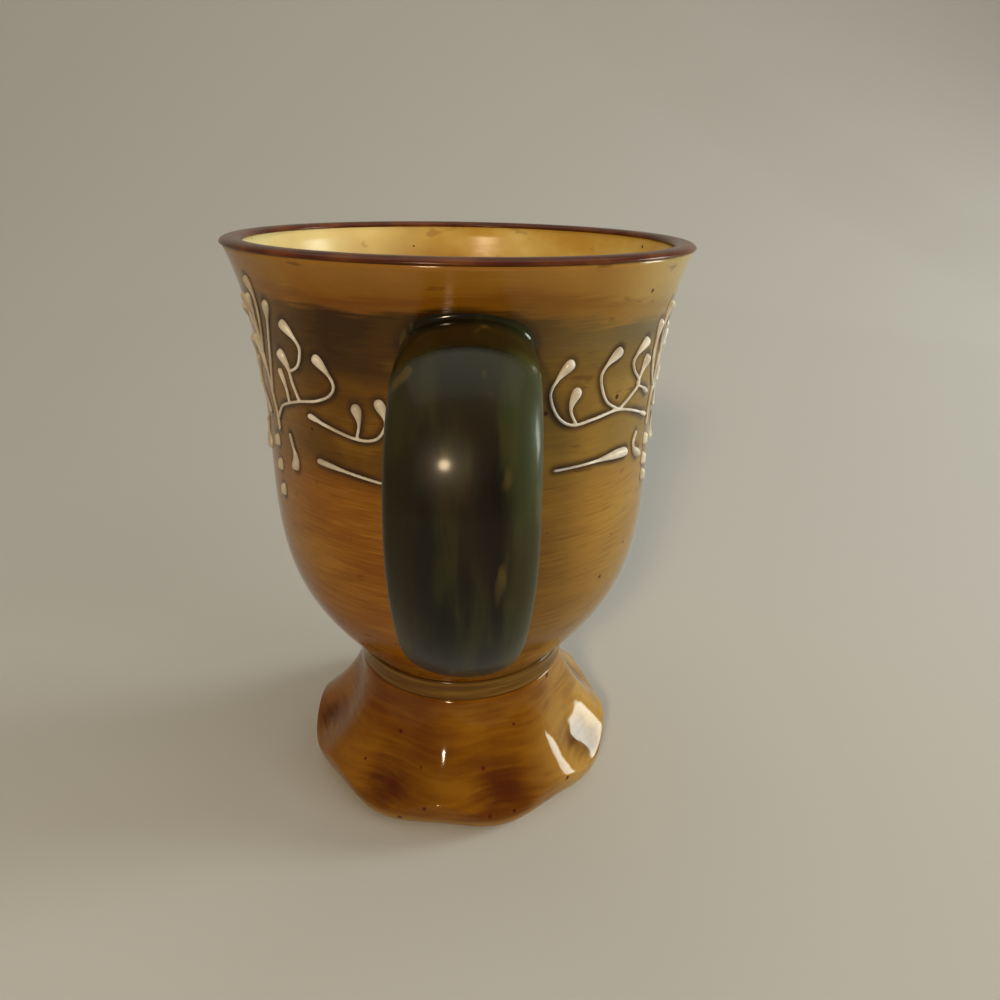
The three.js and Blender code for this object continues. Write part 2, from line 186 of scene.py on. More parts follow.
# Each side's spray: trails near the handle, which are mirrored about the centre, then the stem and the
# drops, which aren't. Each point is an azimuth in degrees from the handle and a drop below the lip in
# millimetres.
SPRAYS = {
    "right": {
        "centre": 66,
        "trails": {
            "tendril": [
                ("bud", [(60.5, 32.4), (51.5, 30), (43, 28.6), (34.5, 29.2), (28, 29.6), (23.5, 27.6),
                         (21, 23.5), (22.5, 20.7), (26.5, 17.5)]),
                ("bud", [(29, 29.5), (27, 26.4), (29, 22.6)]),
                ("bud", [(44, 28.6), (38.5, 26.3), (35.5, 22), (36.5, 19.5), (41.5, 16.6)]),
                ("bud", [(44, 28.6), (49, 26.6), (52.5, 24.5), (48.5, 21.4), (48, 19.1), (53.5, 16)]),
                ("bud", [(51.5, 24.9), (53.5, 22.3), (56, 19.4)]),
                ("blunt", [(51.5, 24.9), (55.5, 26), (59.5, 27.5)]),
                ("blunt", [(53, 30.3), (57, 31.4), (61, 32.5)]),
            ],
            "dash": [("comet", [(23, 38), (35.5, 37.9), (44, 37.9), (50.5, 38.2)])],
            "hook": [("bud", [(55.5, 34.9), (54, 37.1), (55.5, 39), (59, 40.6)])],
        },
        "stem": [
            [(64, 35.4), (64.2, 32), (65.5, 28), (66.7, 22), (68, 16), (69.5, 10.5)],
            [(65.7, 27.3), (62.5, 24.3), (60.2, 20.5), (59.8, 17), (59.8, 13)],
            [(67, 20.5), (64.5, 16), (64.3, 13), (65, 9.8)],
            [(65.2, 29), (68.5, 27), (70.5, 23.5)],
            [(66.3, 24), (69.3, 20.5), (71, 16)],
        ],
        "drops": [(65, 38.6), (65, 43), (66, 46.9)],
    },
    "left": {
        "centre": 60,
        "trails": {
            "tendril": [
                ("bud", [(57, 33), (54.6, 30.8), (52, 29.3), (44.5, 27.5), (37.5, 26.4), (32.5, 24.6),
                         (31.5, 22), (36.5, 17.8)]),
                ("bud", [(44, 27.5), (46, 24.3), (47, 21.3), (50, 18.3)]),
                ("bud", [(47, 22.2), (43, 20.8), (41, 18.5), (41, 16.2), (46, 12.6)]),
                ("blunt", [(49, 28.3), (49.5, 25.7), (51.5, 22)]),
            ],
            "curl": [
                ("bud", [(41, 29.7), (34.5, 30.9), (26, 32.2), (21, 31.8), (18.5, 29.8), (18, 27.5),
                         (20, 24.3)]),
                ("bud", [(26, 32.2), (25, 29), (26, 25.6)]),
                ("blunt", [(33, 31.1), (37, 30.4), (41.3, 29.6)]),
            ],
            "dash": [("blunt", [(19.5, 40.1), (29, 39.1), (39.5, 38.2)])],
            "hook": [("bud", [(51, 34.8), (50, 37.1), (49, 39.6), (50, 42.3)])],
        },
        "stem": [
            [(57, 35.4), (57.4, 31.8), (58.7, 28.5), (60, 24.5), (61, 19.5), (61, 14), (60.3, 9)],
            [(58.9, 28), (57, 23.3), (54.6, 18), (52, 13.4), (50, 9.4)],
            [(61, 20.5), (58.2, 16), (56.2, 11.4), (56, 8.2), (57, 5.6)],
            [(60.2, 24), (63, 21), (64.5, 17)],
            [(61.2, 17), (64.5, 13.5), (66.3, 9.5)],
        ],
        "drops": [(60, 38), (59.5, 43.1), (59, 48.5)],
    },
}

# Heights of the brushed band on the bowl: where each layer fades in over the one below it
OLIVE_RISE = (84 * MM, 93 * MM)
DARK_RISE = (104 * MM, 111 * MM)
COOL_RISE = (110 * MM, 115 * MM)
HONEY_RISE = (118.9 * MM, 121.1 * MM)
RUST_HEIGHT = 121.6 * MM
RUST_REACH = 1.5 * MM
BAND_DIP = 3.2 * MM
BAND_SWAY = 9 * MM
BAND_FRAY = 2.5 * MM

# Darker towards the collar's two edges, and dark glaze in the scoops of the foot
COLLAR_SHADE = (1.7 * MM, 2.6 * MM)
POOL_HEIGHT = 9.5 * MM
POOL_FADE = (6.5 * MM, 1 * MM)

# Gloss: the mirror share of every glaze, the handle's own, and how rough the handle's glaze is and gets
GLAZE_SPECULAR = 0.22
HANDLE_SPECULAR = 0.15
HANDLE_GLOSS = 0.12
RUBBED_ROUGHER = 0.28
COAT_WEIGHT = 0.16
COAT_ROUGHNESS = 0.14
SPECK_LEAST = 0.001
SPECK_CORE = 0.6
FLAT_FLOOR = 0.7

# Paper sweep, in metres
SWEEP_WIDTH = 5
SWEEP_DEPTH = 2.4
SWEEP_SHIFT = -0.4
SWEEP_HEIGHT = 2.4
SWEEP_BEND = 0.7
SWEEP_BEND_STEPS = 24
PAPER_SPECULAR = 0.1

# Light, in metres and watts, and the camera
LIT_PLACE = (0, AXIS_Y, 0.07)
WINDOW_PLACE = (0.98, 0.17, 0.31)
WINDOW_SPREAD = 110
WORLD_STRENGTH = 0.3
EYE_LENS = 27.31
EYE_NEAREST = 0.01
EYE_BACK = 167.88 * MM
EYE_HEIGHT = 140.21 * MM
EYE_YAW = math.radians(3.16)
EYE_PITCH = math.radians(23.264)
EYE_ROLL = math.radians(1.183)


def paint(hex_colour):
    """Linear colour of an sRGB hex string."""
    channels = [int(hex_colour[i : i + 2], 16) / 255 for i in (1, 3, 5)]
    linear = [c / 12.92 if c <= 0.04045 else ((c + 0.055) / 1.055) ** 2.4 for c in channels]
    return (*linear, 1.0)


def clamp(value):
    return min(1.0, max(0.0, value))


def ease(value):
    """Smooth step from 0 to 1."""
    share = clamp(value)
    return share * share * (3 - 2 * share)


def curve(start, pull, push, end, steps):
    """Points of a cubic curve of radius and height."""
    knots = (knot.to_3d() for knot in (start, pull, push, end))
    return [point.xy for point in interpolate_bezier(*knots, steps + 1)]


def azimuth(place):
    """Turn of a place about the mug's axis, from the handle towards +X."""
    return math.atan2(place.x, -(place.y - AXIS_Y))


def only(piece):
    bpy.ops.object.select_all(action="DESELECT")
    piece.select_set(True)
    bpy.context.view_layer.objects.active = piece


def apply_modifier(piece, kind, **settings):
    only(piece)
    modifier = piece.modifiers.new(kind.lower(), kind)
    for name, value in settings.items():
        setattr(modifier, name, value)
    bpy.ops.object.modifier_apply(modifier=modifier.name)


def subdivide(piece, levels):
    apply_modifier(piece, "SUBSURF", levels=levels, render_levels=levels)


def dress(piece, material, slot, *nodes):
    """Finishes a piece: smooth faces, its material, the nodes that it stands for, and its body."""
    only(piece)
    bpy.ops.object.shade_smooth()
    if not piece.data.materials:
        piece.data.materials.append(material)
    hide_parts(*nodes)
    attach(piece, "root")


def throw(name, sides, profile):
    """Throws a round piece as on a wheel: a profile is drawn point by point, then spun."""
    bpy.ops.object.select_all(action="DESELECT")
    bpy.ops.mesh.primitive_plane_add(size=1 * MM)
    piece = bpy.context.object
    piece.name = name
    bpy.ops.object.mode_set(mode="EDIT")
    bpy.ops.mesh.select_all(action="SELECT")
    bpy.ops.mesh.merge(type="CENTER")
    bpy.ops.transform.translate(value=(profile[0].x, AXIS_Y, profile[0].y))
    for last, point in zip(profile, profile[1:]):
        step = point - last
        bpy.ops.mesh.extrude_region_move(TRANSFORM_OT_translate={"value": (step.x, 0, step.y)})
    bpy.ops.mesh.select_all(action="SELECT")
    bpy.ops.mesh.spin(steps=sides, angle=2 * math.pi, center=AXIS, axis=(0, 0, 1))
    return piece


def close(piece):
    """Joins a piece's seams, turns its faces outwards and leaves edit mode."""
    bpy.ops.mesh.select_all(action="SELECT")
    bpy.ops.mesh.remove_doubles(threshold=MERGE_DISTANCE)
    bpy.ops.mesh.normals_make_consistent(inside=False)
    bpy.ops.object.mode_set(mode="OBJECT")


def loft(name, rings):
    """Skins rings of places: a circle is drawn out once for each ring, and each ring is set in its place."""
    bpy.ops.object.select_all(action="DESELECT")
    sides = len(rings[0])
    bpy.ops.mesh.primitive_circle_add(vertices=sides, radius=1)
    piece = bpy.context.object
    piece.name = name
    bpy.ops.object.mode_set(mode="EDIT")
    bpy.ops.mesh.select_all(action="SELECT")
    for _ in rings[1:]:
        bpy.ops.mesh.extrude_region_move(TRANSFORM_OT_translate={"value": (0, 0, 1)})
    bpy.ops.object.mode_set(mode="OBJECT")
    for vertex in piece.data.vertices:
        ring = round(vertex.co.z)
        side = round(math.atan2(vertex.co.y, vertex.co.x) / (2 * math.pi) * sides) % sides
        vertex.co = rings[ring][side]
    bpy.ops.object.mode_set(mode="EDIT")
    return piece


# Bowl, lip, collar and foot
def bowl():
    lip_outside = LIP_CENTRE + Vector((LIP_ROUND - LIP_TUCK, -LIP_DIP))
    lip_inside = LIP_CENTRE - Vector((LIP_ROUND - LIP_TUCK, LIP_DIP))
    inner_belly = BELLY - Vector((WALL, 0))
    inner_mouth_pull = MOUTH_PULL - Vector((WALL - INNER_MOUTH_PULL_OUT, 0))
    base = Vector((BOWL_BASE_RADIUS, BOWL_BASE + BASE_WALL_START))
    down = Vector((0, BELLY_PULL_DOWN))
    up = Vector((0, BELLY_PULL_UP))
    profile = [
        Vector((0, BOWL_BASE - BASE_SINK)),
        Vector((BOWL_BASE_RADIUS - BASE_SETBACK, BOWL_BASE - BASE_SINK)),
        Vector((BOWL_BASE_RADIUS - BASE_TURN_IN, BOWL_BASE + BASE_TURN_UP)),
    ]
    profile += curve(base, BOWL_SWELL, BELLY - down, BELLY, LOWER_WALL_STEPS)
    profile += curve(BELLY, BELLY + up, MOUTH_PULL, lip_outside, UPPER_WALL_STEPS)[1:]
    profile.append(LIP_CENTRE)
    profile += curve(lip_inside, inner_mouth_pull, inner_belly + up, inner_belly, INNER_UPPER_STEPS)
    profile += curve(inner_belly, inner_belly - down, FLOOR_CORNER, FLOOR, INNER_LOWER_STEPS)[1:]
    dish = FLOOR.y - FLOOR_DISH
    profile += [Vector((FLOOR_DISH_RADIUS, dish)), Vector((0, dish))]
    piece = throw("bowl_body", BOWL_SIDES, profile)
    close(piece)
    return piece


def wall(height):
    """Radius of the bowl's outside at a height, and the way out of it as radius and height."""
    if height > BELLY.y:
        mouth = LIP_CENTRE + Vector((LIP_ROUND - LIP_TUCK, 0))
        ends = (BELLY, BELLY + Vector((0, BELLY_PULL_UP)), MOUTH_PULL, mouth)
    else:
        base = Vector((BOWL_BASE_RADIUS, BOWL_BASE))
        ends = (base, BOWL_SWELL, BELLY - Vector((0, BELLY_PULL_DOWN)), BELLY)
    points = curve(*ends, WALL_LOOKUP_STEPS)
    above = next(i for i, point in enumerate(points) if point.y >= height) or 1
    low, high = points[above - 1], points[above]
    along = (high - low).normalized()
    return low.lerp(high, (height - low.y) / (high.y - low.y)).x, Vector((along.y, -along.x))


def wall_place(turn, height, lift):
    """Place off the bowl's outside, at a turn from the handle."""
    radius, out = wall(height)
    radius, height = Vector((radius, height)) + out * lift
    return Vector((radius * math.sin(turn), AXIS_Y - radius * math.cos(turn), height))


def lip():
    bpy.ops.object.select_all(action="DESELECT")
    bpy.ops.mesh.primitive_torus_add(
        location=(0, AXIS_Y, LIP_CENTRE.y),
        major_segments=LIP_SIDES,
        minor_segments=LIP_SECTION_SIDES,
        major_radius=LIP_CENTRE.x,
        minor_radius=LIP_ROUND,
    )
    piece = bpy.context.object
    piece.name = "lip_roll"
    bpy.ops.object.transform_apply()
    bpy.ops.object.mode_set(mode="EDIT")
    bpy.ops.mesh.select_all(action="SELECT")
    flatten = (1, 1, LIP_CROWN / LIP_ROUND)
    bpy.ops.transform.resize(value=flatten, center_override=(0, AXIS_Y, LIP_CENTRE.y))
    bpy.ops.object.mode_set(mode="OBJECT")
    for vertex in piece.data.vertices:
        if vertex.co.z < LIP_CENTRE.y:
            vertex.co.z = LIP_CENTRE.y - (LIP_CENTRE.y - vertex.co.z) * LIP_WRAP
    return piece


def collar():
    low = collar_low.z - COLLAR_OVERLAP
    high = collar_high.z + COLLAR_OVERLAP
    setback = COLLAR_RADIUS - COLLAR_SETBACK
    profile = [Vector((COLLAR_BORE, low)), Vector((setback, low))]
    for step in range(COLLAR_STEPS + 1):
        share = step / COLLAR_STEPS
        beyond = max(0, abs(2 * share - 1) - COLLAR_ROUND_FROM)
        edge = COLLAR_ROUND * beyond / (1 - COLLAR_ROUND_FROM)
        hollow = COLLAR_HOLLOW * math.sin(math.pi * share) + edge
        level = low + COLLAR_EDGE + (high - low - 2 * COLLAR_EDGE) * share
        profile.append(Vector((COLLAR_RADIUS - hollow, level)))
    profile += [Vector((setback, high)), Vector((COLLAR_BORE, high)), Vector((COLLAR_BORE, low))]
    piece = throw("collar_ring", COLLAR_SIDES, profile)
    close(piece)
    subdivide(piece, 1)
    return piece


def foot_section(edge, neck, pull, roll):
    """One upright section of the foot: hollow, rest, rolled edge and skirt."""
    mouth = Vector((HOLLOW_MOUTH, 0))
    section = [Vector((0, HOLLOW_TOP.y))]
    section += curve(HOLLOW_TOP, HOLLOW_NECK, mouth + Vector((0, HOLLOW_PULL)), mouth, HOLLOW_STEPS)
    for step in range(ROLL_STEPS + 1):
        turn = math.pi / 2 * step / ROLL_STEPS
        section.append(Vector((edge.x - roll + roll * math.sin(turn), edge.y - edge.y * math.cos(turn))))
    section += curve(edge, edge + Vector((0, pull)), neck, FOOT_TOP, SKIRT_STEPS)[1:]
    deck = FOOT_TOP + FOOT_DECK_EDGE
    section += [deck, Vector((0, deck.y))]
    return section


def foot():
    ridge, corner = foot_section(**RIDGE), foot_section(**CORNER)
    piece = throw("foot_body", FOOT_TURN_STEPS, ridge)
    bpy.ops.object.mode_set(mode="OBJECT")
    widest = max(range(len(ridge)), key=lambda i: ridge[i].x)
    # Presses the eight corners out of the thrown round, and dents the scoops above them
    for vertex in piece.data.vertices:
        turn = azimuth(vertex.co)
        thrown = Vector(((vertex.co - AXIS).xy.length, vertex.co.z))
        ring = min(range(len(ridge)), key=lambda i: (ridge[i] - thrown).length)
        share = (1 + CORNER_SHARPNESS * math.cos(FOOT_SIDES * (turn - FOOT_CORNER_AZIMUTH))) / 2
        radius, height = ridge[ring].lerp(corner[ring], share)
        if ring > widest:
            up = (ring - widest) / (len(ridge) - widest)
            radius -= SCOOP_DENT * math.sin(math.pi * up) * share
        vertex.co = (radius * math.sin(turn), AXIS_Y - radius * math.cos(turn), height)
    bpy.ops.object.mode_set(mode="EDIT")
    close(piece)
    return piece


# Handle, with the slip that was wiped round its two roots
def strap():
    bpy.ops.object.select_all(action="DESELECT")
    bpy.ops.curve.primitive_bezier_circle_add(radius=1)
    section = bpy.context.object
    section.data.resolution_u = STRAP_SECTION_STEPS
    section.scale = (STRAP_HALF_WIDTH, STRAP_HALF_THICKNESS, 1)
    bpy.ops.object.transform_apply()
    bpy.ops.curve.primitive_bezier_curve_add()
    piece = bpy.context.object
    piece.name = "strap_handle"
    path = piece.data
    path.splines[0].bezier_points.add(1)

    def place(point, aside):
        return Vector((aside, AXIS_Y - point.x, point.y))

    back = STRAP_BACK
    stations = [
        (UPPER_ROOT, UPPER_ROOT - (UPPER_ARM - UPPER_ROOT), UPPER_ARM, ROOT_SHIFT),
        (back, back + Vector((0, UPPER_BACK_PULL)), back - Vector((0, LOWER_BACK_PULL)), 0.0),
        (LOWER_ROOT, LOWER_ARM, LOWER_ROOT - (LOWER_ARM - LOWER_ROOT), 0.0),
    ]
    for point, (knot, before, after, aside) in zip(path.splines[0].bezier_points, stations):
        point.handle_left_type = point.handle_right_type = "FREE"
        point.co = place(knot, aside)
        point.handle_left = place(before, aside)
        point.handle_right = place(after, aside)
        point.radius = 1.0
    path.dimensions = "3D"
    path.twist_mode = "MINIMUM"
    path.resolution_u = STRAP_STEPS
    path.bevel_mode = "OBJECT"
    path.bevel_object = section
    path.use_fill_caps = True
    only(piece)
    bpy.ops.object.transform_apply()
    bpy.ops.object.convert(target="MESH")
    bpy.data.objects.remove(section)
    # Narrows the strap on its way to both roots
    for vertex in piece.data.vertices:
        down = (back.y - vertex.co.z) / (back.y - LOWER_ARM.y)
        vertex.co.x *= 1 - LOWER_TAPER * ease(down)
        if vertex.co.z > back.y:
            inward = clamp((vertex.co.y + CREST) / (AXIS_Y - UPPER_ROOT.x + CREST))
            vertex.co.x -= (vertex.co.x - ROOT_SHIFT) * UPPER_TAPER * inward
    # Presses its ends flat against the wall, a little way into it
    for vertex in piece.data.vertices:
        deepest = wall(vertex.co.z)[0] - ROOT_SINK
        vertex.co.y = min(vertex.co.y, AXIS_Y - math.sqrt(deepest**2 - vertex.co.x**2))
    bpy.ops.object.mode_set(mode="EDIT")
    close(piece)
    return piece


def lute(name, height, aside, taper):
    """Fillet of slip round a root of the strap, from the strap's side down to the wall."""
    half_width = STRAP_HALF_WIDTH * (1 - taper) - LUTE_NARROWER
    half_height = STRAP_HALF_THICKNESS + LUTE_TALLER
    reach, sunk = LUTE_REACH, LUTE_SUNK
    bends = [math.pi / 2 * step / LUTE_STEPS for step in range(LUTE_STEPS + 1)]
    outline = [(reach * (1 - math.sin(bend)), reach * (1 - math.cos(bend))) for bend in bends]
    outline += [(-sunk, reach), (-sunk, -sunk), (reach, -sunk), outline[0]]
    rings = []
    for away, lift in outline:
        ring = []
        for side in range(LUTE_SIDES):
            turn = 2 * math.pi * side / LUTE_SIDES
            normal = Vector((math.cos(turn) / half_width, math.sin(turn) / half_height)).normalized()
            uneven = 1 + LUTE_UNEVEN * math.sin(LUTE_LOBES * turn + LUTE_LOBE_TURN)
            across = half_width * math.cos(turn) + normal.x * away * uneven + aside
            level = height + half_height * math.sin(turn) + normal.y * away * uneven
            ring.append(wall_place(math.asin(across / wall(level)[0]), level, lift))
        rings.append(ring)
    piece = loft(name, rings)
    close(piece)
    subdivide(piece, 1)
    return piece


# Slip trails
def smooth_line(points):
    """Smooth line through points: each pull is a sixth of the way between a point's neighbours."""
    line = []
    last = len(points) - 1
    for i in range(last):
        before, start = points[max(i - 1, 0)], points[i]
        end, after = points[i + 1], points[min(i + 2, last)]
        pull = start + (end - before) / NEIGHBOUR_PULL
        push = end - (after - start) / NEIGHBOUR_PULL
        line += curve(start, pull, push, end, STROKE_STEPS)[:-1]
    line.append(points[-1])
    return line


def stroke(points, swell, most, tail):
    """Places and half widths along a stroke that swells towards its end over a length, or stays even."""
    line = smooth_line([Vector((math.radians(turn) * BELLY.x / MM, drop)) for turn, drop in points])
    gone, length = [0.0], 0.0
    for last, point in zip(line, line[1:]):
        length += (point - last).length
        gone.append(length)
    swell = min(swell, MOST_SWELL * length)
    places = []
    for point, distance in zip(line, gone):
        share = max(0.0, (distance - (length - swell)) / swell) if swell else 0.0
        full = ease(share / RIPE_FROM)
        half, rise = (low + (high - low) * full for low, high in zip(tail, most))
        # Rounds off both ends of the stroke
        near_end = min(distance / tail[0], (length - distance) / half, 1.0)
        round_off = math.sqrt(max(0.0, 1 - (1 - near_end) ** 2))
        half, rise = max(THINNEST, half * round_off), rise * round_off
        place = wall_place(point.x * MM / BELLY.x, LIP_TOP - point.y * MM, (rise - half) * MM)
        places.append((place, half * MM))
    return places


def slip_trail(node, strokes):
    """Pipes strokes of slip onto the wall and lets them run together."""
    bead = bpy.data.curves.new(node + "_slip", "CURVE")
    bead.dimensions = "3D"
    bead.bevel_depth = 1
    bead.bevel_resolution = BEAD_ROUNDING
    bead.use_fill_caps = True
    for places in strokes:
        spline = bead.splines.new("POLY")
        spline.points.add(len(places) - 1)
        for point, (place, half) in zip(spline.points, places):
            point.co = (*place, 1)
            point.radius = half
    piece = bpy.data.objects.new(node + "_slip", bead)
    bpy.context.scene.collection.objects.link(piece)
    only(piece)
    bpy.ops.object.convert(target="MESH")
    piece = bpy.context.object
    apply_modifier(piece, "REMESH", mode="VOXEL", voxel_size=SLIP_VOXEL)
    apply_modifier(piece, "SMOOTH", factor=SLIP_SMOOTHING, iterations=SLIP_SMOOTH_ROUNDS)
    return piece


def all_trails():
    """Every trail by its node: each spray's trails, their mirror images, its stem and its drops."""
    trails = {}
    for side, sign in (("right", 1), ("left", -1)):
        spray = SPRAYS[side]

        def placed(points, half="near"):
            mirrored = [(2 * spray["centre"] - turn, drop) for turn, drop in points]
            return [(sign * turn, drop) for turn, drop in (mirrored if half == "far" else points)]

        for kind, strokes in spray["trails"].items():
            for half in ("near", "far"):
                trails[f"{side}_{kind}_{half}"] = [
                    stroke(placed(points, half), *STROKES[style]) for style, points in strokes
                ]
        trails[f"{side}_stem"] = [stroke(placed(points), *STROKES["twig"]) for points in spray["stem"]]
        for number, (turn, drop) in enumerate(spray["drops"], 1):
            ends = [(turn, drop + step * DROP_LENGTH / 2) for step in (-1, 0, 1)]
            trails[f"{side}_drop_{number}"] = [stroke(placed(ends), *STROKES["drop"])]
    return {node: slip_trail(node, strokes) for node, strokes in trails.items()}


def mark_halo(piece, slips):
    """Refines the wall beside the slip and keeps on it how close each place lies: 1 at the slip, 0 away."""
    places = [vertex.co for slip in slips for vertex in slip.data.vertices]
    tree = KDTree(len(places))
    for index, place in enumerate(places):
        tree.insert(place, index)
    tree.balance()
    only(piece)
    bpy.ops.object.mode_set(mode="EDIT")
    bpy.ops.mesh.select_all(action="DESELECT")
    bpy.ops.object.mode_set(mode="OBJECT")
    for face in piece.data.polygons:
        face.select = tree.find(face.center)[2] < HALO_REACH
    bpy.ops.object.mode_set(mode="EDIT")
    bpy.ops.mesh.subdivide(number_cuts=HALO_CUTS)
    bpy.ops.object.mode_set(mode="OBJECT")
    halo = [max(0.0, 1 - tree.find(vertex.co)[2] / HALO_REACH) for vertex in piece.data.vertices]
    marks = piece.data.attributes.new("slip_halo", "FLOAT", "POINT")
    marks.data.foreach_set("value", halo)


class Glaze:
    """A glaze in the making: a material whose layers are added one by one and wired to its shader."""

    def __init__(self, name, roughness):
        self.material = bpy.data.materials.new(name)
        self.material.use_nodes = True
        self.tree = self.material.node_tree
        self.shader = self.tree.nodes["Principled BSDF"]
        self.shader.inputs["Roughness"].default_value = roughness
        self.shader.inputs["Specular IOR Level"].default_value = GLAZE_SPECULAR
        self.place = self.add("ShaderNodeTexCoord").outputs["Object"]
        axes = self.add("ShaderNodeSeparateXYZ", {"Vector": self.place}).outputs
        self.across, self.deep, self.height = axes

    def add(self, kind, inputs=None, **settings):
        node = self.tree.nodes.new(kind)
        for name, value in settings.items():
            setattr(node, name, value)
        for name, value in (inputs or {}).items():
            self.put(node.inputs[name], value)
        return node

    def put(self, socket, value):
        if isinstance(value, bpy.types.NodeSocket):
            self.tree.links.new(value, socket)
        else:
            socket.default_value = value

    def math(self, operation, a, b=0.0):
        return self.add("ShaderNodeMath", {0: a, 1: b}, operation=operation).outputs[0]

    def times(self, a, b):
        return self.math("MULTIPLY", a, b)

    def away_from(self, value, middle):
        """Distance of a value from a middle, on either side."""
        return self.math("ABSOLUTE", self.math("SUBTRACT", value, middle))

    def noise(self, scale, stretch=(1, 1, 1), shift=(0, 0, 0), detail=4.0):
        """Cloudy pattern from 0 to 1. A stretch above 1 makes it finer along that axis."""
        place = self.add("ShaderNodeMapping", {"Vector": self.place, "Scale": stretch, "Location": shift})
        inputs = {"Vector": place.outputs[0], "Scale": scale, "Detail": detail}
        return self.add("ShaderNodeTexNoise", inputs).outputs["Fac"]

    def span(self, value, low, high):
        """Smooth step from 0 at low to 1 at high."""
        inputs = {"Value": value, "From Min": low, "From Max": high}
        return self.add("ShaderNodeMapRange", inputs, interpolation_type="SMOOTHSTEP").outputs["Result"]

    def sideways(self, low, high):
        """Share that grows along X from one place to another, in millimetres."""
        return self.span(self.across, low * MM, high * MM)

    def upwards(self, low, high):
        """Share that grows along Z from one height to another, in millimetres."""
        return self.span(self.height, low * MM, high * MM)

    def ramp(self, value, *stops):
        node = self.add("ShaderNodeValToRGB", {"Fac": value})
        elements = node.color_ramp.elements
        while len(elements) < len(stops):
            elements.new(0.5)
        for element, (position, colour) in zip(elements, stops):
            element.position = position
            element.color = paint(colour)
        return node.outputs["Color"]

    def over(self, below, share, above):
        """One colour laid over another, by a share."""
        above = paint(above) if isinstance(above, str) else above
        node = self.add("ShaderNodeMix", data_type="RGBA")
        for socket, value in zip((node.inputs[0], node.inputs[6], node.inputs[7]), (share, below, above)):
            self.put(socket, value)
        return node.outputs[2]

    def tint(self, below, mask, share, above):
        """One colour laid over another inside a mask, by no more than a share."""
        return self.over(below, self.times(mask, share), above)

    def blend(self, a, share, b):
        """Two patterns mixed, with a share of the first."""
        return self.math("ADD", self.times(a, share), self.times(b, 1 - share))

    def specks(self, scale, size, share):
        """Mask of small soft specks of differing size, on a share of the cells."""
        cells = self.add("ShaderNodeTexVoronoi", {"Vector": self.place, "Scale": scale}).outputs
        shade = self.add("ShaderNodeSeparateColor", {"Color": cells["Color"]}).outputs[0]
        reach = self.times(self.math("SUBTRACT", share, shade), size / share)
        reach = self.math("MAXIMUM", reach, SPECK_LEAST)
        return self.span(cells["Distance"], reach, self.times(reach, SPECK_CORE))

    def finish(self, colour, relief, depth, roughness=None):
        """Wires the colour, the relief and, where it varies, the roughness."""
        self.put(self.shader.inputs["Base Color"], colour)
        bump = self.add("ShaderNodeBump", {"Height": relief, "Strength": 1.0, "Distance": depth})
        self.put(self.shader.inputs["Normal"], bump.outputs[0])
        if roughness is not None:
            self.put(self.shader.inputs["Roughness"], roughness)
        return self.material


